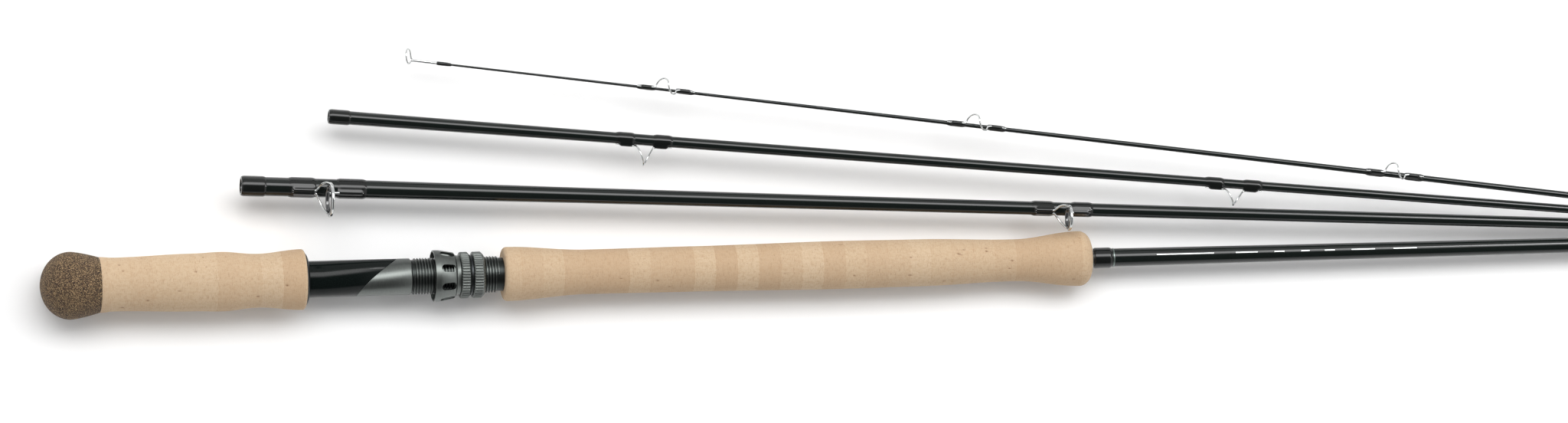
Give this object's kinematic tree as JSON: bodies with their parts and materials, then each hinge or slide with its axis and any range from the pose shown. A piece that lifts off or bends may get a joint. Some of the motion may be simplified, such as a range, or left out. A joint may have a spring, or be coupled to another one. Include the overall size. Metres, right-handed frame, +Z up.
{
  "type": "fly rod",
  "caption": "Two-handed fly rod taken apart into its sections, with cork grips, screw-locking reel seat, stripping guides, snake guides and tip-top.",
  "frame": {"origin": "centre of the laid-out sections' box, on the surface that they lie on", "axes": "+X along the butt section from the pommel to the male end, +Z up, +Y across towards the tip section"},
  "size_m": [1.2202, 0.1518, 0.0459],
  "materials": {
    "cork": "sanded natural cork",
    "cork_composite": "sanded rubber and cork composite",
    "arbor_cork": "plain",
    "carbon_blank": "carbon tube under green-black gloss lacquer",
    "thread_wrap": "black thread under clear epoxy",
    "seat_lacquer": "green-black gloss lacquer",
    "gunmetal_aluminium": "satin gunmetal anodised",
    "dark_aluminium": "dark anodised",
    "bright_aluminium": "polished",
    "trim_band": "metallic trim thread",
    "guide_chrome": "hard chromed wire",
    "guide_ceramic": "polished dark ceramic"
  },
  "bodies": {
    "butt_section": {"butt_blank": "carbon_blank", "pommel": "cork_composite", "rear_grip": "cork", "fixed_hood": "dark_aluminium", "seat_arbors": "arbor_cork", "seat_insert": "seat_lacquer", "seat_barrel": "gunmetal_aluminium", "foregrip": "cork", "winding_check": "bright_aluminium", "butt_wrap": "thread_wrap", "butt_trim_band": "trim_band"},
    "hood": {"sliding_hood": "gunmetal_aluminium"},
    "locking_nut": {"lock_nut": "gunmetal_aluminium"},
    "nut_washer": {"jam_washer": "dark_aluminium"},
    "second_nut": {"jam_nut": "gunmetal_aluminium"},
    "section_2": {"section_2_blank": "carbon_blank", "section_2_ferrule_wrap": "thread_wrap", "stripper_1_frame": "guide_chrome", "stripper_1_ring": "guide_ceramic", "stripper_1_wraps": "thread_wrap", "stripper_2_frame": "guide_chrome", "stripper_2_ring": "guide_ceramic", "stripper_2_wraps": "thread_wrap", "snake_1": "guide_chrome", "snake_1_wraps": "thread_wrap"},
    "section_3": {"section_3_blank": "carbon_blank", "section_3_ferrule_wrap": "thread_wrap", "snake_2": "guide_chrome", "snake_2_wraps": "thread_wrap", "snake_3": "guide_chrome", "snake_3_wraps": "thread_wrap", "snake_4": "guide_chrome", "snake_4_wraps": "thread_wrap"},
    "tip_section": {"tip_blank": "carbon_blank", "tip_ferrule_wrap": "thread_wrap", "snake_5": "guide_chrome", "snake_5_wraps": "thread_wrap", "snake_6": "guide_chrome", "snake_6_wraps": "thread_wrap", "snake_7": "guide_chrome", "snake_7_wraps": "thread_wrap", "snake_8": "guide_chrome", "snake_8_wraps": "thread_wrap", "tip_top_tube": "guide_chrome", "tip_top_loop": "guide_chrome", "tip_wrap": "thread_wrap"}
  },
  "joints": [
    {"name": "hood_slide", "type": "slide", "parent": "butt_section", "child": "hood", "axis": [1, 0, -0.0062], "range_m": [-0.024, 0]},
    {"name": "lock_nut_turn", "type": "hinge", "parent": "hood", "child": "locking_nut", "pos_m": [-0.36218, -0.0562, 0.01818], "axis": [1, 0, -0.0062], "range_deg": [-5040, 0]},
    {"name": "washer_slide", "type": "slide", "parent": "locking_nut", "child": "nut_washer", "axis": [1, 0, -0.0062], "range_m": [0, 0.0103]},
    {"name": "jam_nut_turn", "type": "hinge", "parent": "nut_washer", "child": "second_nut", "pos_m": [-0.35518, -0.0562, 0.01814], "axis": [1, 0, -0.0062], "range_deg": [0, 2160]},
    {"name": "section_2_lift", "type": "slide", "parent": "butt_section", "child": "section_2", "axis": [0, 0.6, 0.8], "range_m": [0, 0.15]},
    {"name": "section_3_lift", "type": "slide", "parent": "section_2", "child": "section_3", "axis": [0, 0.6, 0.8], "range_m": [0, 0.15]},
    {"name": "tip_section_lift", "type": "slide", "parent": "section_3", "child": "tip_section", "axis": [0, 0.6, 0.8], "range_m": [0, 0.15]}
  ],
  "couplings": [
    {"joint": "hood_slide", "follows": "lock_nut_turn", "m_per_rad": 0.00027215},
    {"joint": "washer_slide", "follows": "jam_nut_turn", "m_per_rad": 0.00027215}
  ]
}
